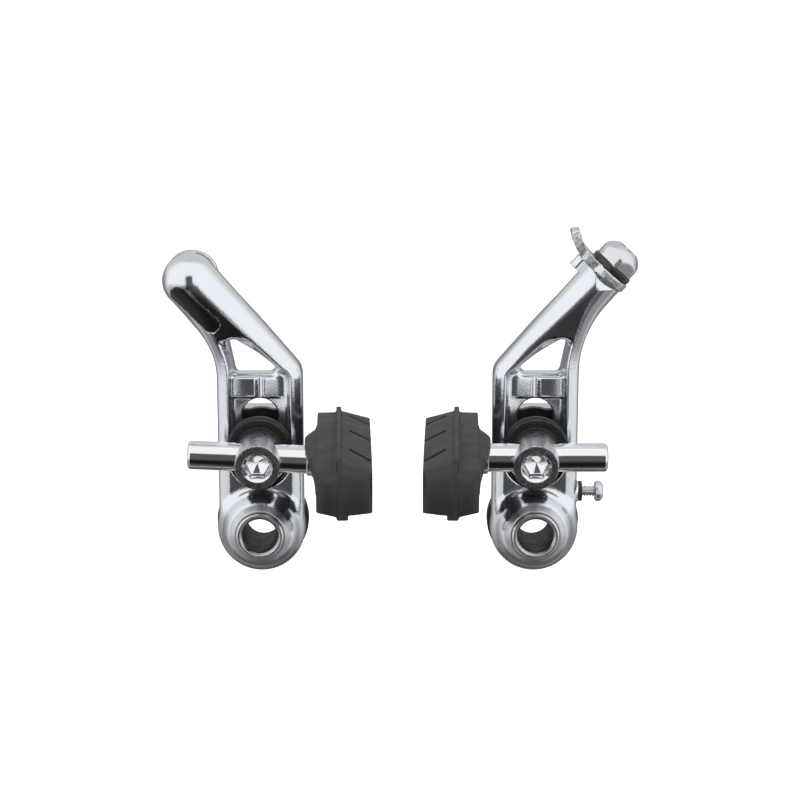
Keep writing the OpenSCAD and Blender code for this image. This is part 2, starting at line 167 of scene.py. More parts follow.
def polygon_field(x, y, points):
    """Signed distance to a polygon, negative inside."""
    best, inside = None, None
    for i, (ax, ay) in enumerate(points):
        bx, by = points[i - 1]
        ex, ey = bx - ax, by - ay
        wx, wy = x - ax, y - ay
        t = np.clip((wx * ex + wy * ey) / (ex * ex + ey * ey), 0, 1)
        d = (wx - ex * t) ** 2 + (wy - ey * t) ** 2
        cross = ex * wy - ey * wx
        a, b, c = y >= ay, y < by, cross > 0
        flip = (a & b & c) | (~a & ~b & ~c)
        best = d if best is None else np.minimum(best, d)
        inside = flip if inside is None else inside ^ flip
    return np.where(inside, -1, 1) * np.sqrt(best)


def arc_points(cx, cy, radius, start, turn, steps=16):
    angles = [math.radians(start + turn * i / steps) for i in range(steps + 1)]
    return [(cx + radius * math.cos(a), cy + radius * math.sin(a)) for a in angles]


def round_corner(a, b, radius):
    """Two faces that meet in a round."""
    a, b = a + radius, b + radius
    return np.minimum(np.maximum(a, b), 0) + np.hypot(np.maximum(a, 0), np.maximum(b, 0)) - radius


def extruded(flat, z, low, high, round_low, round_high):
    """Solid between two heights over a flat field, with its two rims rounded."""
    return np.maximum(round_corner(flat, z - high, round_high), round_corner(flat, low - z, round_low))


def slot_field(x, y, width, low, high):
    """A slot with round ends on the middle line."""
    t = np.clip(y, low + width / 2, high - width / 2)
    return np.hypot(x, y - t) - width / 2


def row_point(side):
    """Function that takes drawn millimetres to metres in the row frame, on the left or right arm."""
    if side == "left":
        return lambda p: np.stack([p[:, 0], -p[:, 2], p[:, 1]], axis=1) * MM
    return lambda p: np.stack([PIVOT_SPACING - p[:, 0], -p[:, 2], p[:, 1]], axis=1) * MM


def field_gradient(field, p, h=0.02):
    g = np.empty_like(p)
    for i in range(3):
        step = np.zeros(3)
        step[i] = h
        a, b = p + step, p - step
        g[:, i] = field(a[:, 0], a[:, 1], a[:, 2]) - field(b[:, 0], b[:, 1], b[:, 2])
    return g / (2 * h)


def cell_sum(values):
    """Adds up what the four edges of one direction give to each cell, over the two last axes."""
    return values[:, :-1, :-1] + values[:, 1:, :-1] + values[:, :-1, 1:] + values[:, 1:, 1:]


def linked(name, data):
    """New object in the scene."""
    made = bpy.data.objects.new(name, data)
    bpy.context.scene.collection.objects.link(made)
    return made


def mesh_from_field(name, field, low, high, step, side):
    """Closed mesh of the surface where the field is zero: one vertex per crossed cell, then moved onto it."""
    count = [int(math.ceil((high[i] - low[i]) / step)) + 1 for i in range(3)]
    axes = [low[i] + step * np.arange(count[i]) for i in range(3)]
    d = field(axes[0][:, None, None], axes[1][None, :, None], axes[2][None, None, :])
    d = np.broadcast_to(d, count)
    cells = [n - 1 for n in count]
    total = np.zeros(cells + [3])
    hits = np.zeros(cells)
    crossings = []
    for axis in range(3):
        order = [axis, (axis + 1) % 3, (axis + 2) % 3]
        back = [order.index(i) for i in range(3)]
        e = np.transpose(d, order)
        first, second = e[:-1], e[1:]
        crossed = (first < 0) != (second < 0)
        with np.errstate(divide="ignore", invalid="ignore"):
            t = np.where(crossed, first / (first - second), 0)
        weight = cell_sum(crossed.astype(float))
        hits += np.transpose(weight, back)
        index = [np.arange(n) for n in e.shape]
        along = np.where(crossed, index[0][:-1, None, None] + t, 0)
        total[..., order[0]] += np.transpose(cell_sum(along), back)
        total[..., order[1]] += np.transpose(cell_sum(crossed * index[1][None, :, None]), back)
        total[..., order[2]] += np.transpose(cell_sum(crossed * index[2][None, None, :]), back)
        crossings.append((order, crossed, first < 0))
    used = hits > 0
    number = np.full(cells, -1)
    number[used] = np.arange(int(used.sum()))
    p = np.array(low) + step * total[used] / hits[used][:, None]
    home = p.copy()
    for _ in range(4):
        g = field_gradient(field, p)
        length = np.maximum((g * g).sum(1), 0.05)
        p = p - g * (field(p[:, 0], p[:, 1], p[:, 2]) / length)[:, None]
        p = home + np.clip(p - home, -0.6 * step, 0.6 * step)
    faces = []
    for order, crossed, inside in crossings:
        back = [order.index(i) for i in range(3)]
        i, j, k = np.nonzero(crossed[:, 1:-1, 1:-1])
        ring = []
        for dj, dk in ((0, 0), (1, 0), (1, 1), (0, 1)):
            cell = np.stack([i, j + dj, k + dk])
            ring.append(number[tuple(cell[back])])
        quad = np.stack(ring, axis=1)
        turned = inside[:, 1:-1, 1:-1][i, j, k]
        faces.append(np.where(turned[:, None], quad, quad[:, ::-1]))
    faces = np.concatenate(faces)
    if side == "right":
        faces = faces[:, ::-1]
    place = row_point(side)
    normals = field_gradient(field, p)
    tip = place(p + normals) - place(p)
    tip /= np.maximum(np.linalg.norm(tip, axis=1), 1e-9)[:, None]
    mesh = bpy.data.meshes.new(name)
    mesh.from_pydata(place(p).tolist(), [], faces.tolist())
    mesh.polygons.foreach_set("use_smooth", np.ones(len(faces), bool))
    mesh.validate()
    mesh.normals_split_custom_set_from_vertices(tip.tolist())
    return linked(name, mesh)


# Cast arms

# Outer rail: height where it bends, radius of its middle line, turn in degrees
BEND = {"left": (35, 18.3, 41.6), "right": (36.5, 24, 39)}
LIMB_TURN = math.radians(39.7)
CORNER = (4.8, 35.4)
CORNER_R = 5
HEAD = (-15.3, 57.2)
HEAD_R = 6.35
HEAD_Z = 6.2
SLOT = (8.2, 12.4, 30.2)
POCKET_LOW = 9.4
WINDOW = ((-5.6, 43.2), (-4.4, 37.2), (2.2, 37.2))
WINDOW_R = 1.2
BAR = (30.6, 35.4)
CAVITY = (8.4, 5)
CABLE_END_R = 3.3
SLIT = (1.6, 3.6)
BADGE_AT = (-13.95, 51.55)
BADGE_TURN = math.radians(-44)
BADGE_DEEP = 0.6
BADGE = (13.6, 3.7)
ANCHOR_TURN = math.radians(42)
SEAT = (-14.7, 58.2)
ANCHOR_R = 5
ANCHOR_Z = 6.4
LUG_Z = 3
TENSION = (7.9, 6)
NOSE_R = 7.05
NOSE_FRONT = BUSH_LENGTH - 0.6
ANCHOR_HOLE_R = 2.55


def arm_values():
    """The arm's sizes in millimetres."""
    s = bpy.context.scene.brake_arm
    names = ("half_width", "back", "web_front", "rail_front", "rail_width", "hub_radius", "fillet")
    return {n: getattr(s, n) / MM for n in names}


def tangent_point(point, centre, radius, turn):
    """Where a line from a point touches a circle, on its left or right."""
    dx, dy = centre[0] - point[0], centre[1] - point[1]
    far = math.hypot(dx, dy)
    angle = math.atan2(dy, dx) + turn * math.asin(radius / far)
    run = math.sqrt(far * far - radius * radius)
    return point[0] + run * math.cos(angle), point[1] + run * math.sin(angle)


def beyond_head(point, turn):
    """A point past the head, on the line from another point that touches the head's circle."""
    touch = tangent_point(point, HEAD, HEAD_R, turn)
    run = math.hypot(touch[0] - point[0], touch[1] - point[1])
    return tuple(b + (b - a) * 10 / run for a, b in zip(point, touch))


def rail_line(side, v, inset):
    """Points up the outer rail's edge, at a distance in from the arm's outline."""
    bend_y, radius, turn = BEND[side]
    middle = v["half_width"] - v["rail_width"] / 2
    arc = arc_points(-middle - radius, bend_y, radius - v["rail_width"] / 2 + inset, 0, turn)
    return [(-v["half_width"] + inset, POCKET_LOW)] + arc


def limb_axes(x, y):
    """Distances down the limb and across it, from the middle of the head."""
    hx, hy = x - HEAD[0], y - HEAD[1]
    sine, cosine = math.sin(LIMB_TURN), math.cos(LIMB_TURN)
    return hx * sine - hy * cosine, hx * cosine + hy * sine


def hub_distance(x, y):
    """Distance from the pivot, shorter below it, so that the lower end stands out a little."""
    return np.hypot(x, np.where(y < 0, 0.966 * y, y))


def arm_outline(side, x, y, v):
    """Flat field of the whole arm, seen from the front."""
    rail = rail_line(side, v, 0)
    rail[0] = (-v["half_width"], 0)
    corner = arc_points(CORNER[0], CORNER[1], CORNER_R, 0, math.degrees(LIMB_TURN), 8)
    if side == "left":
        top = [beyond_head(rail[-1], 1), beyond_head(corner[-1], -1)]
    else:
        beyond = (SEAT[0] - 2 * math.sin(ANCHOR_TURN), SEAT[1] + 2 * math.cos(ANCHOR_TURN))
        across = (ANCHOR_R * math.cos(ANCHOR_TURN), ANCHOR_R * math.sin(ANCHOR_TURN))
        top = [(beyond[0] - across[0], beyond[1] - across[1]), (beyond[0] + across[0], beyond[1] + across[1])]
    flat = polygon_field(x, y, rail + top + corner[::-1] + [(v["half_width"], 0)])
    flat = smooth_min(flat, hub_distance(x, y) - v["hub_radius"], 0.3)
    if side == "left":
        # The straight edges run on into the round end
        along, _ = limb_axes(x, y)
        end = np.hypot(x - HEAD[0], y - HEAD[1]) - HEAD_R
        flat = end + (flat - end) * ramp(along, -1, 2)
    return flat


def arm_body(side, x, y, z, v):
    """The arm before anything is cut: rounds grow from the rails' size to the head's."""
    top_r, top_z = (HEAD_R, HEAD_Z) if side == "left" else (ANCHOR_R, ANCHOR_Z)
    along, across = limb_axes(x, y)
    # The crown line runs down the limb, nearer and nearer to its edge
    down = np.clip(along, 0, 30)
    crown = 0.05 * down + 0.0017 * down ** 2
    inner = ramp(across - crown, -1.2, 1.2)
    rail_r = v["rail_width"]
    right_r = np.maximum(rail_r, (top_r - crown) * ramp(y, 28, 38))
    left_r = top_r + (rail_r - top_r) * ramp(along, 1, 15)
    high = v["rail_front"] + (top_z + top_r - v["rail_front"]) * ramp(y, 39, 60)
    low = v["back"] + (top_z - top_r - v["back"]) * ramp(y, 46, 57)
    round_low = 0.8 + (top_r - 0.8) * ramp(y, 46, 57)
    flat = arm_outline(side, x, y, v)
    return extruded(flat, z, low, high, round_low, left_r + (right_r - left_r) * inner)


def recess_field(side, x, y, v):
    """Flat field of the channel between the rails, from the pocket's round end up past the window."""
    edge = v["half_width"] - v["rail_width"]
    rail = rail_line(side, v, v["rail_width"])[1:]
    out = (CORNER[0] + CORNER_R * math.cos(LIMB_TURN), CORNER[1] + CORNER_R * math.sin(LIMB_TURN))
    crown = []
    for s, inset in ((1.5, 3.3), (8, 4.2), (15, 5.2)):
        along_x, along_y = out[0] - s * math.sin(LIMB_TURN), out[1] + s * math.cos(LIMB_TURN)
        crown.append((along_x - inset * math.cos(LIMB_TURN), along_y - inset * math.sin(LIMB_TURN)))
    kept = [p for p in rail if p[1] < (45 if side == "left" else 47)]
    bottom = arc_points(0, POCKET_LOW + edge + 0.5, edge + 0.1, 180, 180)
    inner = arc_points(CORNER[0], CORNER[1], CORNER_R - 3, 0, math.degrees(LIMB_TURN), 4)
    return polygon_field(x, y, kept[::-1] + bottom + [(edge, CORNER[1])] + inner + crown)


def hub_field(x, y, z, v):
    """Turned nose over the rounded end: a cone, a satin chamfer and a flat front."""
    r = np.hypot(x, y)
    cone = (r - NOSE_R - 0.62 * (NOSE_FRONT - 1.15 - z)) * 0.85
    chamfer = (r - 5.85 + z - NOSE_FRONT) * 0.707
    nose = smooth_max(smooth_max(cone, chamfer, 0.25), z - NOSE_FRONT, 0.2)
    nose = smooth_max(nose, hub_distance(x, y) - v["hub_radius"] + 0.1, 2.4)
    return np.maximum(nose, v["back"] + 1 - z)


def pocket_distance(x, y, v):
    """Distance from the middle of the washers' pocket, with straight sides above it."""
    middle = POCKET_LOW + v["half_width"] - v["rail_width"] + 0.5
    return np.hypot(x, np.minimum(y - middle, 0))


def arm_frame_field(side, x, y, z, v):
    """Rails, web, pocket, window, hub and bore, shared by both arms."""
    k = v["fillet"]
    d = arm_body(side, x, y, z, v)
    rise = (v["rail_front"] - v["web_front"] + 1.2) * ramp(y, 40, 47)
    floor = v["web_front"] + rise + (0.007 + 0.007 * ramp(x, -1, 1)) * x * x
    draft = 0.1 + 0.3 * ramp(y, 34, 38)
    channel = recess_field(side, x, y, v) + draft * (v["rail_front"] - z)
    d = smooth_max(d, -smooth_max(channel, floor - z, 1.2 * k), 0.5 * k)
    bar = np.maximum(np.abs(x) - 7.2, np.maximum(BAR[0] - 0.1 - y, y - BAR[1] - 0.1))
    lean = 0.22 * np.maximum(x - 1, 0) + 0.02 * (x + 3) ** 2 * (x < 0)
    bar = smooth_max(bar, np.maximum(z - 8.4 + lean, v["back"] + 0.5 - z), 0.7)
    bar = smooth_max(bar, 0.95 - np.hypot(x, z - 8.75), 0.3)
    d = smooth_min(d, bar, 0.5 * k)
    # The hub, then the washers' pocket through it and the web
    d = smooth_min(d, hub_field(x, y, z, v), 1.8 * k)
    d = smooth_max(d, arm_outline(side, x, y, v), 0.3)
    ring = pocket_distance(x, y, v)
    pocket = np.maximum(np.maximum(ring - 6.45, v["web_front"] - z), y - POCKET_LOW - v["half_width"] - 2)
    d = smooth_max(d, -pocket, 0.9 * k)
    d = smooth_max(d, -slot_field(x, y, *SLOT), 0.35 * k)
    d = smooth_max(d, WINDOW_R - polygon_field(x, y, WINDOW), 1.1 * k)
    r = np.hypot(x, y)
    d = np.maximum(d, BUSH_R + 0.05 - r)
    return np.maximum(d, -np.maximum(r - CAVITY[0], z - CAVITY[1]))


def head_cuts(x, y, z, d):
    """Hook behind the left head: flange, pocket and slit for the end of the cable."""
    from_head = np.hypot(x - HEAD[0], y - HEAD[1])
    flange = extruded(from_head - 6, z, -0.4, 3, 0.6, 0.6)
    d = smooth_min(d, flange, 0.3)
    d = np.maximum(d, -np.maximum(from_head - CABLE_END_R, z - 5.6))
    along, across = limb_axes(x, y)
    slit = np.maximum(np.maximum(SLIT[0] - z, z - SLIT[1]), np.maximum(-across, np.abs(2.7 - along) - 6.3))
    return smooth_max(d, -slit, 0.25)


def badge_outline(x, y, inset=0):
    bx, by = x - BADGE_AT[0], y - BADGE_AT[1]
    along = bx * math.cos(BADGE_TURN) + by * math.sin(BADGE_TURN)
    across = by * math.cos(BADGE_TURN) - bx * math.sin(BADGE_TURN)
    reach = (BADGE[0] - BADGE[1]) / 2
    return np.hypot(along - np.clip(along, -reach, reach), across) - BADGE[1] / 2 + inset


def left_arm_field(x, y, z, v):
    d = head_cuts(x, y, z, arm_frame_field("left", x, y, z, v))
    under = arm_body("left", x, y, z, v) + BADGE_DEEP
    return smooth_max(d, -np.maximum(badge_outline(x, y), np.maximum(-under, HEAD_Z - z)), 0.05)


def anchor_axes(x, y):
    """Distances along and across the anchor bolt's axis, from the seat."""
    sx, sy = x - SEAT[0], y - SEAT[1]
    along = sy * math.cos(ANCHOR_TURN) - sx * math.sin(ANCHOR_TURN)
    return along, sx * math.cos(ANCHOR_TURN) + sy * math.sin(ANCHOR_TURN)


def right_arm_field(x, y, z, v):
    d = arm_frame_field("right", x, y, z, v)
    along, across = anchor_axes(x, y)
    lug = np.maximum(np.hypot(across - 5.4, z - LUG_Z) - 1.6, -3 - along)
    d = smooth_min(d, smooth_max(lug, along, 0.4), 0.4)
    d = smooth_max(d, along, 0.25)
    d = np.maximum(d, -np.maximum(np.hypot(across, z - ANCHOR_Z) - ANCHOR_HOLE_R, -13 - along))
    from_screw = np.hypot(y - TENSION[0], z - TENSION[1])
    d = smooth_min(d, np.maximum(from_screw - 2.3, np.maximum(-10.15 - x, x + 8)), 0.6)
    hole = np.maximum(from_screw - 1.3, np.maximum(x + 6, -13 - x))
    return np.maximum(d, -hole)


def assign_by(piece, materials, choose):
    """Gives each face one of the materials, chosen by the function from its middle in the row frame."""
    for m in materials:
        piece.data.materials.append(m)
    mesh = piece.data
    middle = np.empty(len(mesh.polygons) * 3)
    mesh.polygons.foreach_get("center", middle)
    mesh.polygons.foreach_set("material_index", choose(middle.reshape(-1, 3)).astype(np.int32))


def satin_nose(side):
    """Index 1 on the turned front of the hub, 0 elsewhere."""
    centre = 0 if side == "left" else PIVOT_SPACING * MM
    front = NOSE_FRONT * MM

    def choose(p):
        r = np.hypot(p[:, 0] - centre, p[:, 2])
        return (r < NOSE_R * MM) & (-p[:, 1] > front - 1.25 * MM)

    return choose


def build_arm(side, field, extra_low, extra_high):
    v = arm_values()
    step = bpy.context.scene.brake_arm.mesh_step / MM
    piece = mesh_from_field(
        side + "_cast_arm", lambda x, y, z: field(x, y, z, v), extra_low, extra_high, step, side
    )
    assign_by(piece, [polished_alloy(), turned_alloy()], satin_nose(side))
    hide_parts(side + "_arm")
    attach(piece, side + "_lever")


# Round and moulded pieces


def supported(profile, closed):
    """Adds rings beside the corners of the long segments, so that flat and straight faces shade evenly."""
    out = []
    for i, a in enumerate(profile):
        out.append(a)
        if i == len(profile) - 1 and not closed:
            break
        b = profile[(i + 1) % len(profile)]
        dx, dy = b[0] - a[0], b[1] - a[1]
        length = math.hypot(dx, dy)
        if length > 0.3:
            share = 0.05 / length
            out += [(a[0] + dx * share, a[1] + dy * share), (b[0] - dx * share, b[1] - dy * share)]
    return out


def lathe(name, profile, at, axis, closed=True, segments=128):
    """Turns a profile of (distance, radius) pairs around an axis through a point, in millimetres."""
    turn = Vector(axis).to_track_quat("Z", "Y").to_matrix()
    profile = supported(profile, closed)
    points, faces = [], []
    for distance, radius in profile:
        for i in range(segments):
            a = 2 * math.pi * i / segments
            p = turn @ Vector((radius * math.cos(a), radius * math.sin(a), distance))
            points.append(((p + Vector(at)) * MM)[:])
    rows = len(profile)
    for r in range(rows if closed else rows - 1):
        n = (r + 1) % rows
        for i in range(segments):
            j = (i + 1) % segments
            faces.append((r * segments + i, r * segments + j, n * segments + j, n * segments + i))
    if not closed:
        faces.append(tuple(range(segments - 1, -1, -1)))
        faces.append(tuple((rows - 1) * segments + i for i in range(segments)))
    mesh = bpy.data.meshes.new(name)
    mesh.from_pydata(points, [], faces)
    mesh.polygons.foreach_set("use_smooth", [len(f) == 4 for f in faces])
    mesh.update()
    return linked(name, mesh)


def rounded(profile, radius, steps=4):
    """Profile with every corner replaced by a short curve that starts at a distance from it."""
    out = []
    for i, corner in enumerate(profile):
        before, after = profile[i - 1], profile[(i + 1) % len(profile)]
        ends = []
        for other in (before, after):
            dx, dy = other[0] - corner[0], other[1] - corner[1]
            share = min(0.5, radius / math.hypot(dx, dy))
            ends.append((corner[0] + dx * share, corner[1] + dy * share))
        for k in range(steps + 1):
            t = k / steps
            out.append(tuple(
                ends[0][n] * (1 - t) ** 2 + corner[n] * 2 * t * (1 - t) + ends[1][n] * t * t for n in (0, 1)
            ))
    return out


def side_x(side, x):
    """Place across the row frame of a place that is drawn on the left arm."""
    return x if side == "left" else PIVOT_SPACING - x


def dress(piece, material, node, body):
    if material is not None:
        piece.data.materials.append(material)
    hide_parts(node)
    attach(piece, body)


def hexagon_field(x, y, flats):
    x, y = np.abs(x), np.abs(y)
    return np.maximum(x * math.cos(math.pi / 6) + y * 0.5, y) - flats / 2


# Finishes


def math_node(n, link, operation, a, b=0.0):
    m = n.new("ShaderNodeMath")
    m.operation = operation
    for i, value in enumerate((a, b)):
        if isinstance(value, (int, float)):
            m.inputs[i].default_value = value
        else:
            link(value, m.inputs[i])
    return m.outputs[0]


def grain_group():
    """Fine cast or brushed grain, in millimetres: a height for bumps and a mask of darker spots."""
    found = bpy.data.node_groups.get("Surface grain")
    if found:
        return found
    g = bpy.data.node_groups.new("Surface grain", "ShaderNodeTree")
    for name, value in (("Grain size", 0.3), ("Cloud size", 3.0), ("Spot share", 0.5)):
        socket = g.interface.new_socket(name, in_out="INPUT", socket_type="NodeSocketFloat")
        socket.default_value = value
    for name in ("Height", "Clouds", "Spots"):
        g.interface.new_socket(name, in_out="OUTPUT", socket_type="NodeSocketFloat")
    n, link = g.nodes, g.links.new
    start, end = n.new("NodeGroupInput"), n.new("NodeGroupOutput")
    place = n.new("ShaderNodeTexCoord")
    fields = {}
    for key, detail in (("Grain size", 3.0), ("Cloud size", 2.0)):
        scale = math_node(n, link, "DIVIDE", 1 / MM, start.outputs[key])
        noise = n.new("ShaderNodeTexNoise")
        noise.inputs["Detail"].default_value = detail
        link(place.outputs["Object"], noise.inputs["Vector"])
        link(scale, noise.inputs["Scale"])
        fields[key] = noise.outputs[0]
    spots = n.new("ShaderNodeMapRange")
    spots.interpolation_type = "SMOOTHSTEP"
    upper = math_node(n, link, "ADD", start.outputs["Spot share"], 0.08)
    link(fields["Grain size"], spots.inputs["Value"])
    link(start.outputs["Spot share"], spots.inputs["From Min"])
    link(upper, spots.inputs["From Max"])
    link(fields["Grain size"], end.inputs["Height"])
    link(fields["Cloud size"], end.inputs["Clouds"])
    link(spots.outputs["Result"], end.inputs["Spots"])
    return g


def finish_material(
    name, colour, metallic, rough, grain=0.3, cloud=3.0, bump=0.0, dark=0.0, spots=0.5, coat=0.0
):
    """Principled finish: roughness runs between two values with the clouds, spots darken the colour."""
    found = bpy.data.materials.get(name)
    if found:
        return found
    m = bpy.data.materials.new(name)
    m.use_nodes = True
    n, link = m.node_tree.nodes, m.node_tree.links.new
    shader = n["Principled BSDF"]
    shader.inputs["Metallic"].default_value = metallic
    shader.inputs["Coat Weight"].default_value = coat
    shader.inputs["Coat Roughness"].default_value = 0.08
    group = n.new("ShaderNodeGroup")
    group.node_tree = grain_group()
    for key, value in (("Grain size", grain), ("Cloud size", cloud), ("Spot share", spots)):
        group.inputs[key].default_value = value
    tint = n.new("ShaderNodeMix")
    tint.data_type = "RGBA"
    tint.inputs[6].default_value = (*colour, 1)
    tint.inputs[7].default_value = (*[c * (1 - dark) for c in colour], 1)
    link(group.outputs["Spots"], tint.inputs[0])
    link(tint.outputs[2], shader.inputs["Base Color"])
    spread = n.new("ShaderNodeMapRange")
    for key, value in (("From Min", 0.3), ("From Max", 0.7), ("To Min", rough[0]), ("To Max", rough[1])):
        spread.inputs[key].default_value = value
    link(group.outputs["Clouds"], spread.inputs["Value"])
    link(spread.outputs["Result"], shader.inputs["Roughness"])
    if bump:
        node = n.new("ShaderNodeBump")
        node.inputs["Strength"].default_value = 1.0
        node.inputs["Distance"].default_value = bump * MM
        link(group.outputs["Height"], node.inputs["Height"])
        link(node.outputs["Normal"], shader.inputs["Normal"])
    return m


def colours():
    return bpy.context.scene.brake_finish


def shade(colour, factor):
    return tuple(c * factor for c in colour)


def polished_alloy():
    return finish_material(
        "Polished alloy", colours().alloy, metallic=1, rough=(0.08, 0.15), grain=0.35, cloud=5, bump=0.024
    )


def turned_alloy():
    return finish_material(
        "Turned alloy", shade(colours().alloy, 0.8), metallic=1, rough=(0.3, 0.38), grain=0.12,
        cloud=1.5, bump=0.01, dark=0.25, spots=0.55,
    )


def satin_steel():
    return finish_material(
        "Satin steel", colours().steel, metallic=1, rough=(0.25, 0.35), grain=0.15,
        cloud=2, bump=0.006, dark=0.15, spots=0.55,
    )


def dark_bore():
    return finish_material(
        "Dark bore", (0.014, 0.014, 0.012), metallic=0.6, rough=(0.4, 0.55), grain=0.2, cloud=2, bump=0.004
    )


def end_face_steel():
    return finish_material(
        "Speckled end face", shade(colours().steel, 0.22), metallic=1, rough=(0.3, 0.4), grain=0.35,
        cloud=2, bump=0.03, dark=-1.8, spots=0.56,
    )


def chrome():
    return finish_material(
        "Chrome", (0.88, 0.89, 0.92), metallic=1, rough=(0.05, 0.09), grain=0.3, cloud=3, bump=0.01
    )


def zinc():
    return finish_material(
        "Zinc plating", (0.75, 0.77, 0.8), metallic=1, rough=(0.18, 0.3), grain=0.15, cloud=1.5, bump=0.006
    )


def forged_steel():
    return finish_material(
        "Forged steel", (0.82, 0.83, 0.86), metallic=1, rough=(0.2, 0.4), grain=0.5,
        cloud=1.2, bump=0.09, dark=0.6, spots=0.6,
    )


def black_steel():
    return finish_material(
        "Black steel", shade(colours().black, 1.2), metallic=0.3, rough=(0.32, 0.45), grain=0.2,
        cloud=2, bump=0.006,
    )


def black_plastic():
    return finish_material(
        "Black plastic", colours().black, metallic=0, rough=(0.35, 0.45), grain=0.15, cloud=3, bump=0.004
    )


def badge_black():
    return finish_material(
        "Badge enamel", shade(colours().black, 0.35), metallic=0, rough=(0.14, 0.2), grain=0.3,
        cloud=4, coat=0.15,
    )


def ring_rubber():
    return finish_material(
        "Ring rubber", shade(colours().black, 0.7), metallic=0, rough=(0.22, 0.3), grain=0.2,
        cloud=3, coat=0.3,
    )


def pad_rubber():
    return finish_material(
        "Pad rubber", shade(colours().rubber, 0.52), metallic=0, rough=(0.48, 0.6), grain=0.22,
        cloud=4, bump=0.02, dark=0.12, spots=0.5,
    )


def spring_steel():
    return finish_material(
        "Spring steel", (0.35, 0.35, 0.36), metallic=1, rough=(0.25, 0.35), grain=0.2, cloud=2, bump=0.004
    )


# Hardware on each arm

DISH_BACK, DISH_FRONT, SERRATED_FRONT = 7.25, 11.25, 13.45
WASHER_R = 7.45
BARREL_R = 5
POST_R = 3.2
SOCKET_FLATS = 5
# Mouth of the eye bolt's socket, its shank, the washers' holes and the play of the post
MOUTH_R, SHANK_R, WASHER_HOLE_R, POST_PLAY = 3.35, 3, 3.06, 0.05
BORE_R = 4.0
# Fine teeth of the serrated washers: count, distance between rings, depths
TEETH, RING_STEP, TOOTH_DEEP, RING_DEEP = 72, 0.35, 0.42, 0.34
PAD_TOE_IN = 0.026
PAD_CURVE = 300
PAD_L, PAD_NEAR, PAD_HALF = 48, 26.6, 7.1
PAD_BACK, RIB_BACK, RIB_FRONT, PAD_FACE = 13.3, 18, 19.7, 25.4


def build_bush(side):
    ridge = ((-0.5, 0), (-0.2, 0.02), (0.2, 0.02), (0.5, 0))
    ridges = [(z + dz, 3.98 + dr) for z in range(2, 15, 2) for dz, dr in ridge]
    bore = [(0, 4.3), (0.3, BORE_R)] + ridges + [(BUSH_LENGTH - 0.55, BORE_R), (BUSH_LENGTH - 0.1, 4.4)]
    outside = [
        (BUSH_LENGTH, 4.55), (BUSH_LENGTH, BUSH_R - 0.35), (BUSH_LENGTH - 0.35, BUSH_R),
        (0.3, BUSH_R), (0, 5.1),
    ]
    piece = lathe(side + "_bush", bore + outside, (side_x(side, 0), 0, 0), (0, -1, 0))
    centre = side_x(side, 0) * MM

    def choose(p):
        r = np.hypot(p[:, 0] - centre, p[:, 2])
        return (r < 4.1 * MM) & (-p[:, 1] < (BUSH_LENGTH - 0.5) * MM)

    assign_by(piece, [satin_steel(), dark_bore()], choose)
    dress(piece, None, side + "_pivot_bush", "pivots")


# The left post hangs a little, and the barrels lean towards each other, as they do on a loosened brake
POST_LEAN = {"left": 0.04, "right": 0.0}
BARREL_LEAN = {"left": 0.027, "right": 0.06}


def eye_bolt_field(side, x, y, z):
    y = y - EYE_H
    low = y + POST_LEAN[side] * x
    x = x - BARREL_LEAN[side] * np.maximum(z - SERRATED_FRONT, 0)
    r = np.hypot(x, y)
    barrel = extruded(r - BARREL_R, z, SERRATED_FRONT, BARREL_FRONT, 0.1, 0.3)
    d = np.minimum(barrel, np.maximum(r - SHANK_R, np.maximum(SHANK_BACK - z, z - SERRATED_FRONT - 1)))
    hole = np.hypot(low, z - POST_Z) - POST_R - POST_PLAY
    d = smooth_max(d, -hole, 0.5)
    socket = smooth_max(hexagon_field(x, y, SOCKET_FLATS), BARREL_FRONT - 3.6 + 0.36 * (r - 2.5) - z, 0.3)
    funnel = r - MOUTH_R + (BARREL_FRONT - z) * 0.9
    return smooth_max(d, -smooth_min(socket, funnel, 0.15), 0.12)


def build_eye_bolt(side):
    low, high = (-5.6, EYE_H - 5.6, SHANK_BACK - 0.4), (6.4, EYE_H + 5.6, BARREL_FRONT + 0.4)
    piece = mesh_from_field(
        side + "_eye_bolt_steel", lambda x, y, z: eye_bolt_field(side, x, y, z), low, high, 0.2, side
    )
    centre = side_x(side, BARREL_LEAN[side] * (BARREL_FRONT - SERRATED_FRONT)) * MM

    def choose(p):
        r = np.hypot(p[:, 0] - centre, p[:, 2] - EYE_H * MM)
        face = (-p[:, 1] > (BARREL_FRONT - 0.12) * MM) & (r > MOUTH_R * MM)
        socket = (-p[:, 1] > (BARREL_FRONT - 4.7) * MM) & (r <= MOUTH_R * MM)
        return np.where(face, 1, np.where(socket, 2, 0))

    assign_by(piece, [satin_steel(), end_face_steel(), chrome()], choose)
    dress(piece, None, side + "_eye_bolt", side + "_eye")


def build_washers(side):
    at = (side_x(side, 0), 0, EYE_H)
    foot = WASHER_R - 1.8
    curve = [
        (DISH_BACK + 1.2 + 1.9 * t, foot + 1.8 * math.sin(t * math.pi / 2)) for t in np.linspace(0, 1, 14)
    ]
    dish = [(DISH_BACK, WASHER_HOLE_R), (DISH_BACK, foot - 0.2), (DISH_BACK + 0.2, foot)] + curve
    dish += [(DISH_FRONT - 0.25, WASHER_R), (DISH_FRONT, WASHER_R - 0.25), (DISH_FRONT, WASHER_HOLE_R)]
    piece = lathe(side + "_dished_washer_steel", dish, at, (0, -1, 0))
    dress(piece, black_steel(), side + "_dished_washer", side + "_slider")
    teeth = lathe(side + "_serrated_washer_steel", serrated_profile(), at, (0, -1, 0), segments=288)
    cut_teeth(teeth, at)
    dress(teeth, black_steel(), side + "_serrated_washer", side + "_eye")


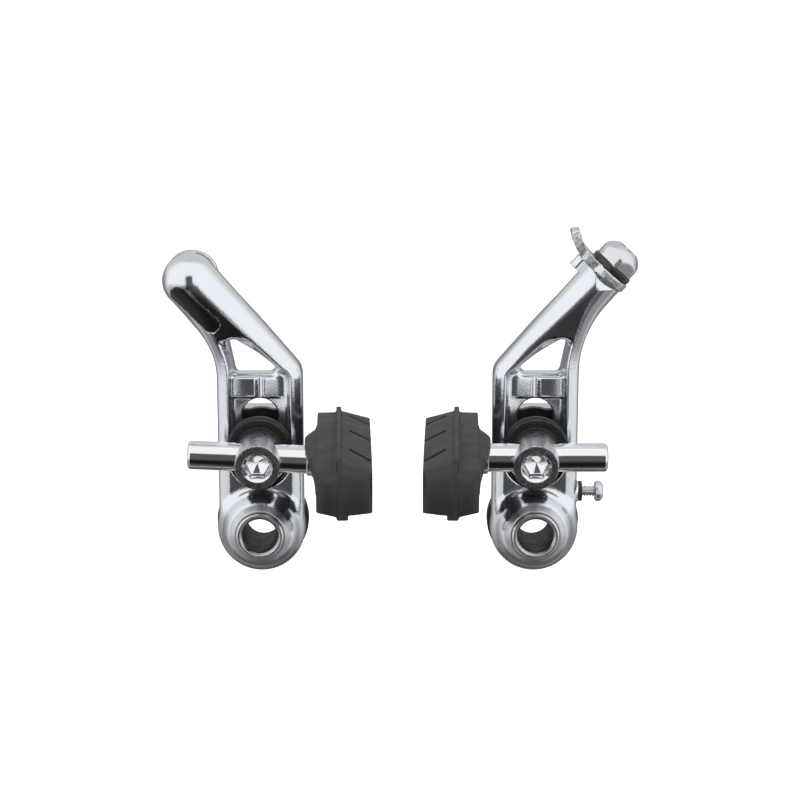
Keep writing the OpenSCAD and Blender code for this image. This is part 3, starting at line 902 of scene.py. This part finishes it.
def serrated_profile():
    rim = WASHER_R - 0.35
    front = SERRATED_FRONT
    flat = [(front, r) for r in np.linspace(rim - 0.35, BARREL_R + 0.7, 13)]
    back = [(DISH_FRONT, WASHER_HOLE_R), (DISH_FRONT, rim - 0.1), (DISH_FRONT + 0.15, rim + 0.02)]
    edge = [(front - 0.3, rim), (front - 0.08, rim - 0.1)]
    return back + edge + flat + [(front - 0.25, BARREL_R + 0.3), (front - 0.25, WASHER_HOLE_R)]


def cut_teeth(piece, at):
    """Presses fine crossed teeth into the front."""
    for v in piece.data.vertices:
        dx, dz = v.co.x / MM - at[0], v.co.z / MM - at[2]
        r = math.hypot(dx, dz)
        if -v.co.y / MM > SERRATED_FRONT - 0.1 and r > BARREL_R + 0.4:
            wave = abs((math.atan2(dz, dx) / (2 * math.pi) * TEETH) % 1 - 0.5) * 2
            ring = abs(((r - BARREL_R) / RING_STEP) % 1 - 0.5) * 2
            v.co.y += (TOOTH_DEEP * wave + RING_DEEP * ring) * MM


def build_post(side):
    front, out = POST_IN, -POST_OUT
    # Distance along the post, and how far the radius lies over the shaft's
    steps = [
        (out, -0.75), (out + 0.08, -0.45), (out + 0.3, -0.16), (out + 0.65, 0), (front - 2.25, 0),
        (front - 2.2, 0.35), (front - 2.05, 0.45), (front - 1.2, 0.5), (front - 0.9, 0.75), (front, 0.8),
    ]
    profile = [(out, 0.02)] + [(along, POST_R + over) for along, over in steps] + [(front, 0.02)]
    direction = (1, 0, -POST_LEAN[side]) if side == "left" else (-1, 0, -POST_LEAN[side])
    piece = lathe(side + "_post_chrome", profile, (side_x(side, 0), -POST_Z, EYE_H), direction, closed=False)
    dress(piece, chrome(), side + "_shoe_post", side + "_post")


def pad_field(x, y, z):
    middle = POST_Z + PAD_NEAR - PAD_L / 2
    x = x - PAD_TOE_IN * (z - middle)
    centre_y = EYE_H - PAD_CURVE
    h = np.hypot(y - centre_y, z - middle) - PAD_CURVE
    s = PAD_CURVE * np.arctan2(z - middle, y - centre_y)
    half, length = PAD_HALF, PAD_L / 2
    nose = s - length + h * h / 20
    tail = 0.3 - length - s
    friction = polygon_field(x, h, [
        (RIB_BACK, half - 0.9), (RIB_FRONT - 0.4, half - 0.9), (PAD_FACE, half - 2.5),
        (PAD_FACE, 2.1 - half), (RIB_FRONT + 1.5, 1.4 - half), (RIB_BACK, 1.4 - half),
    ])
    back = polygon_field(x, h, [
        (PAD_BACK, half - 1.2), (RIB_BACK + 0.5, half - 1),
        (RIB_BACK + 0.5, 0.6 - half), (PAD_BACK, 2.2 - half),
    ])
    bulge = smooth_max(back, h - half + 1 + 0.1 * np.maximum(0.883 * (x - 17.6) + 0.47 * (z - 8.8), 0), 0.3)
    d = smooth_min(friction, smooth_min(bulge, pad_lip(x, h, s), 0.6), 0.2)
    d = smooth_max(smooth_max(d, nose, 2.5), tail, 1.6)
    wide = 1.4 * ramp(-h, -2, 6)
    rib = np.maximum(np.maximum(RIB_BACK - 0.35 - x, x - RIB_FRONT + 0.9 - wide), np.abs(h) - half)
    rib = smooth_max(smooth_max(rib, nose - 0.35, 2.5), tail - 0.3, 0.6)
    d = smooth_min(d, rib, 0.5)
    for i in (-1, 0, 1):
        across = (z - POST_Z + 2 - 15 * i) - (x - RIB_FRONT - 0.6) * 0.93
        groove = np.maximum(np.abs(across) * 0.73 - 0.42, RIB_FRONT + 0.9 - x)
        d = smooth_max(d, -groove, 0.35)
    return d


def pad_lip(x, h, s):
    """Flared lip over the post that runs out along the back."""
    top = PAD_HALF - 1.5 - 0.06 * np.maximum(s, 0)
    far, near = ramp(s, -9, 1.5), 1 - ramp(s, 2.5, 22)
    edge = PAD_BACK - 2.6 * np.minimum(far, near)
    under = top - 1.6 - 1.1 * (x - PAD_BACK + 2.6)
    body = np.maximum(np.maximum(edge - x, x - RIB_BACK - 0.4), np.maximum(h - top, (under - h) * 0.7))
    return smooth_max(body, np.maximum(-9 - s, s - 22), 0.4)


def build_pad(side):
    middle = POST_Z + PAD_NEAR - PAD_L / 2
    low = (PAD_BACK - 3, EYE_H - 9, middle - PAD_L / 2 - 0.8)
    high = (PAD_FACE + 0.8, EYE_H + 8, middle + PAD_L / 2 + 0.8)
    piece = mesh_from_field(side + "_pad_rubber", pad_field, low, high, 0.3, side)
    dress(piece, pad_rubber(), side + "_brake_pad", side + "_shoe")


def build_badge():
    v = arm_values()

    def field(x, y, z):
        body = arm_body("left", x, y, z, v)
        shell = np.maximum(body, -body - BADGE_DEEP + 0.03)
        return smooth_max(smooth_max(badge_outline(x, y, 0.05), shell, 0.2), HEAD_Z - z, 0.05)

    low = (BADGE_AT[0] - 8, BADGE_AT[1] - 8, HEAD_Z)
    high = (BADGE_AT[0] + 8, BADGE_AT[1] + 8, 13.4)
    piece = mesh_from_field("left_badge_enamel", field, low, high, 0.15, "left")
    dress(piece, badge_black(), "left_badge", "left_lever")


# Cable anchor and tension screw on the right arm

PLATE_H, RING_H, HEAD_H, HEAD_FLATS = 2.2, 1.4, 5.4, 9.2
HEAD_TURN = math.radians(-25)
TENSION_HEAD = 15.9


def anchor_frame_field(field):
    """Turns a field that is drawn along the anchor bolt's axis into one over the arm's own places."""

    def turned(x, y, z):
        along, across = anchor_axes(x, y)
        return field(across, z - ANCHOR_Z, along)

    return turned


def anchor_head_field(x, y, z):
    z = z - PLATE_H - RING_H
    r = np.hypot(x, y)
    c, s = math.cos(HEAD_TURN), math.sin(HEAD_TURN)
    hexagon = smooth_max(hexagon_field(x * c - y * s, x * s + y * c, HEAD_FLATS), -z, 0.3)
    dome = np.sqrt(r * r + (z - HEAD_H + 5.5) ** 2) - 5.5
    d = smooth_max(smooth_max(hexagon, dome, 0.35), r - 4.95, 0.1)
    d = np.minimum(d, np.maximum(r - 2.5, np.maximum(z, -z - PLATE_H - RING_H - 11.4)))
    socket = np.maximum(hexagon_field(y, x, SOCKET_FLATS - 0.5), HEAD_H - 2.6 - z)
    return smooth_max(d, -socket, 0.2)


def anchor_plate_field(x, y, z):
    r = np.hypot(x, y)
    rough = 0.06 * np.sin(2.1 * x + 1.3 * z) * np.sin(1.7 * y + 0.6) + 0.03 * np.sin(4.3 * x - 3.1 * y)
    level = np.abs(z - PLATE_H / 2) - PLATE_H / 2
    disc = smooth_max(r - 5.5, level, 0.5)
    step = np.maximum(np.maximum(-x, x - 7), np.maximum(np.abs(y) - 4.4, level))
    # Tab bent up along an arc
    radius = 10.6
    cx, cz = 4.6, radius + PLATE_H
    from_bend = np.hypot(x - cx, z - cz)
    turn = np.degrees(np.arctan2(x - cx, cz - z))
    across = np.abs(y) - 3.4 + 0.9 * ramp(turn, 22, 42)
    tab = np.maximum(np.abs(from_bend - radius - PLATE_H / 2) - PLATE_H / 2, across)
    tab = smooth_max(tab, np.maximum(-turn * 0.2, (turn - 40) * 0.2), 0.5)
    d = smooth_min(smooth_min(disc, smooth_max(step, r - 8, 0.5), 0.4), tab, 0.4)
    d = smooth_max(d + 0.08 + rough * 0.5, np.abs(y) - 5.5, 0.3)
    return np.maximum(np.maximum(d, ANCHOR_HOLE_R - r), -z)


def build_anchor():
    c = (SEAT[0], SEAT[1], ANCHOR_Z)
    piece = mesh_from_field(
        "anchor_bolt_steel", anchor_frame_field(anchor_head_field),
        (c[0] - 14, c[1] - 10, c[2] - 5.6), (c[0] + 9.5, c[1] + 13, c[2] + 5.6), 0.2, "right",
    )
    dress(piece, zinc(), "anchor_bolt", "anchor")
    plate = mesh_from_field(
        "anchor_plate_steel", anchor_frame_field(anchor_plate_field),
        (c[0] - 8, c[1] - 6, c[2] - 6.2), (c[0] + 12, c[1] + 22, c[2] + 6.2), 0.2, "right",
    )
    dress(plate, forged_steel(), "anchor_plate", "anchor_clamp")
    inner, outer = ANCHOR_HOLE_R, 5.1
    section = rounded([(0, inner), (0, outer), (RING_H, outer), (RING_H, inner)], 0.4)
    direction = (math.sin(ANCHOR_TURN), 0, math.cos(ANCHOR_TURN))
    at = (side_x("right", SEAT[0]) + PLATE_H * direction[0], -ANCHOR_Z, SEAT[1] + PLATE_H * direction[2])
    ring = lathe("anchor_ring_rubber", section, at, direction)
    dress(ring, ring_rubber(), "anchor_ring", "anchor_clamp")


def build_tension():
    head = [
        (0, 0.02), (0, 1.3), (0.15, 1.75), (0.5, 2.15), (0.85, 2.35), (1.3, 2.4),
        (1.7, 2.3), (1.95, 2.0), (2.0, 1.35),
    ]
    thread, end, pitch = [], TENSION_HEAD - 8.9, 0.62
    z = 2.0
    while z < end - pitch:
        thread += [(z + 0.1, 0.98), (z + 0.3, 1.25), (z + 0.38, 1.25), (z + 0.58, 0.98)]
        z += pitch
    profile = head + thread + [(end + 0.5, 0.9), (end + 0.5, 0.02)]
    at = (side_x("right", -TENSION_HEAD), -TENSION[1], TENSION[0])
    screw = lathe("tension_screw_zinc", profile, at, (-1, 0, 0), closed=False, segments=64)
    dress(screw, zinc(), "tension_screw", "tension")


def dress_cad_nodes():
    """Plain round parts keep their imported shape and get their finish."""
    for node, material in (
        ("spring_cover", black_plastic()), ("return_spring", spring_steel()),
        ("rear_washer", black_steel()), ("lock_nut", zinc()),
    ):
        for side in ("left", "right"):
            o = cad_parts[side + "_" + node]
            for s in o.material_slots:
                s.material = material
    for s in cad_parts["tension_block"].material_slots:
        s.material = black_plastic()


# Stage


def soft_step(n, link, value, low, high):
    m = n.new("ShaderNodeMapRange")
    m.interpolation_type = "SMOOTHSTEP"
    m.inputs["From Min"].default_value = low
    m.inputs["From Max"].default_value = high
    link(value, m.inputs["Value"])
    return m.outputs["Result"]


def build_world():
    """Studio all round: white panels at the sides and above, a dark gap in front, greyer behind and below."""
    world = bpy.context.scene.world or bpy.data.worlds.new("Studio")
    bpy.context.scene.world = world
    world.use_nodes = True
    n, link = world.node_tree.nodes, world.node_tree.links.new
    n.clear()
    place = n.new("ShaderNodeTexCoord")
    split = n.new("ShaderNodeSeparateXYZ")
    link(place.outputs["Generated"], split.inputs[0])
    x, y, z = split.outputs
    side = math_node(n, link, "ABSOLUTE", x)
    front = math_node(n, link, "MULTIPLY", y, -1.0)
    turn = math_node(n, link, "ARCTAN2", side, front)

    def rest(value):
        return math_node(n, link, "SUBTRACT", 1.0, value)

    def times(a, b):
        return math_node(n, link, "MULTIPLY", a, b)

    gap = times(rest(soft_step(n, link, turn, 0.2, 0.3)), rest(soft_step(n, link, z, 0.44, 0.54)))
    behind = soft_step(n, link, turn, 1.5, 2.4)
    low = rest(soft_step(n, link, z, -0.55, -0.12))
    # The dark gap spreads out over the table in front
    table = times(rest(soft_step(n, link, turn, 0.6, 1.3)), low)
    # Share of the white that is lost: behind, below at the sides and below behind
    lost = times(behind, 0.36)
    for band, share in (
        (times(rest(behind), low), 0.7),
        (times(behind, rest(soft_step(n, link, z, -0.1, 0.5))), 0.78),
        (times(behind, rest(soft_step(n, link, z, -0.7, -0.3))), 0.9),
        (table, 0.9),
    ):
        lost = math_node(n, link, "MAXIMUM", lost, times(band, share))
    level = times(rest(lost), rest(times(gap, 0.9)))
    level = math_node(n, link, "MULTIPLY", level, bpy.context.scene.brake_studio.panel_level)
    light = n.new("ShaderNodeLightPath")
    seen = math_node(n, link, "MAXIMUM", level, light.outputs["Is Camera Ray"])
    back = n.new("ShaderNodeBackground")
    link(seen, back.inputs["Strength"])
    out = n.new("ShaderNodeOutputWorld")
    link(back.outputs[0], out.inputs["Surface"])
    back.inputs["Color"].default_value = (1, 1, 1, 1)


def build_floor():
    """White floor well under the brake, which keeps a soft shadow."""
    drop = 0.05
    middle = (cad_low + cad_high) / 2
    size = 3.0
    z = cad_low.z - drop
    mesh = bpy.data.meshes.new("floor")
    corners = [(-size, -size), (size, -size), (size, size), (-size, size)]
    mesh.from_pydata([(middle.x + x, middle.y + y, z) for x, y in corners], [], [(0, 1, 2, 3)])
    floor = linked("floor", mesh)
    m = bpy.data.materials.new("White floor")
    m.use_nodes = True
    n, link = m.node_tree.nodes, m.node_tree.links.new
    shader = n["Principled BSDF"]
    shader.inputs["Base Color"].default_value = (0.8, 0.8, 0.8, 1)
    shader.inputs["Roughness"].default_value = 1
    light = n.new("ShaderNodeLightPath")
    shader.inputs["Emission Color"].default_value = (1, 1, 1, 1)
    glow = math_node(n, link, "MULTIPLY", light.outputs["Is Camera Ray"], 0.45)
    link(glow, shader.inputs["Emission Strength"])
    mesh.materials.append(m)
    floor.visible_glossy = False


def build_lights():
    for name, at, size, power in (
        ("key", (-0.25, -0.35, 0.9), 0.5, 4),
        ("fill", (0.6, -0.6, 0.5), 0.6, 2),
    ):
        data = bpy.data.lights.new(name, "AREA")
        data.size = size
        data.energy = power
        lamp = linked(name, data)
        lamp.location = at
        target = (cad_low + cad_high) / 2
        lamp.rotation_mode = "QUATERNION"
        lamp.rotation_quaternion = (target - Vector(at)).to_track_quat("-Z", "Y")
        lamp.visible_glossy = False


def build_camera():
    s = bpy.context.scene.brake_studio
    data = bpy.data.cameras.new("camera")
    data.lens = s.focal_length
    data.clip_start, data.clip_end = 0.02, 20
    camera = linked("camera", data)
    camera.location = s.camera_place
    camera.rotation_euler = (math.pi / 2 - s.pitch, 0, 0)
    bpy.context.scene.camera = camera


# Operators


class BRAKE_OT_arms(bpy.types.Operator):
    """Makes both cast arms with their turned noses"""

    bl_idname = "brake.arms"
    bl_label = "Cast arms"

    def execute(self, context):
        build_arm("left", left_arm_field, (-22.5, -10.9, -1.2), (10.9, 64.6, 16.2))
        build_arm("right", right_arm_field, (-20.5, -10.9, 0.6), (11.1, 63.6, 16.2))
        return {"FINISHED"}


class BRAKE_OT_pivots(bpy.types.Operator):
    """Makes the pivot bushes"""

    bl_idname = "brake.pivots"
    bl_label = "Pivot bushes"

    def execute(self, context):
        for side in ("left", "right"):
            build_bush(side)
        return {"FINISHED"}


class BRAKE_OT_eye_bolts(bpy.types.Operator):
    """Makes the eye bolts and the washers in front of the arms"""

    bl_idname = "brake.eye_bolts"
    bl_label = "Eye bolts and washers"

    def execute(self, context):
        for side in ("left", "right"):
            build_eye_bolt(side)
            build_washers(side)
        return {"FINISHED"}


class BRAKE_OT_shoes(bpy.types.Operator):
    """Makes the chromed posts and the brake pads"""

    bl_idname = "brake.shoes"
    bl_label = "Posts and pads"

    def execute(self, context):
        for side in ("left", "right"):
            build_post(side)
            build_pad(side)
        return {"FINISHED"}


class BRAKE_OT_badge(bpy.types.Operator):
    """Makes the bare black badge"""

    bl_idname = "brake.badge"
    bl_label = "Badge"

    def execute(self, context):
        build_badge()
        return {"FINISHED"}


class BRAKE_OT_anchor(bpy.types.Operator):
    """Makes the cable anchor and the tension screw"""

    bl_idname = "brake.anchor"
    bl_label = "Cable anchor and tension screw"

    def execute(self, context):
        build_anchor()
        build_tension()
        return {"FINISHED"}


class BRAKE_OT_plain_parts(bpy.types.Operator):
    """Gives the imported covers, springs, nuts and rear washers their finish"""

    bl_idname = "brake.plain_parts"
    bl_label = "Covers, springs and nuts"

    def execute(self, context):
        dress_cad_nodes()
        return {"FINISHED"}


class BRAKE_OT_stage(bpy.types.Operator):
    """Sets up the studio, the floor, the lamps and the camera"""

    bl_idname = "brake.stage"
    bl_label = "Stage"

    def execute(self, context):
        build_world()
        build_floor()
        build_lights()
        build_camera()
        context.scene.view_settings.view_transform = "Standard"
        return {"FINISHED"}


STEPS = (
    BRAKE_OT_arms, BRAKE_OT_pivots, BRAKE_OT_eye_bolts, BRAKE_OT_shoes, BRAKE_OT_badge, BRAKE_OT_anchor,
    BRAKE_OT_plain_parts, BRAKE_OT_stage,
)


class BRAKE_PT_panel(bpy.types.Panel):
    """Lists the sizes, finishes and steps"""

    bl_label = "Cantilever brake"
    bl_space_type = "VIEW_3D"
    bl_region_type = "UI"
    bl_category = "Brake"

    def draw(self, context):
        for group in (context.scene.brake_arm, context.scene.brake_finish, context.scene.brake_studio):
            box = self.layout.box()
            for key in group.bl_rna.properties.keys():
                if key not in ("rna_type", "name"):
                    box.prop(group, key)
        for step in STEPS:
            self.layout.operator(step.bl_idname)


CLASSES = (ArmSizes, FinishColours, StudioSettings) + STEPS + (BRAKE_PT_panel,)


def register():
    for c in CLASSES:
        bpy.utils.register_class(c)
    bpy.types.Scene.brake_arm = bpy.props.PointerProperty(type=ArmSizes)
    bpy.types.Scene.brake_finish = bpy.props.PointerProperty(type=FinishColours)
    bpy.types.Scene.brake_studio = bpy.props.PointerProperty(type=StudioSettings)


def unregister():
    del bpy.types.Scene.brake_arm, bpy.types.Scene.brake_finish, bpy.types.Scene.brake_studio
    for c in reversed(CLASSES):
        bpy.utils.unregister_class(c)


def main():
    register()
    for step in STEPS:
        group, name = step.bl_idname.split(".")
        getattr(getattr(bpy.ops, group), name)()


if __name__ == "__main__":
    main()
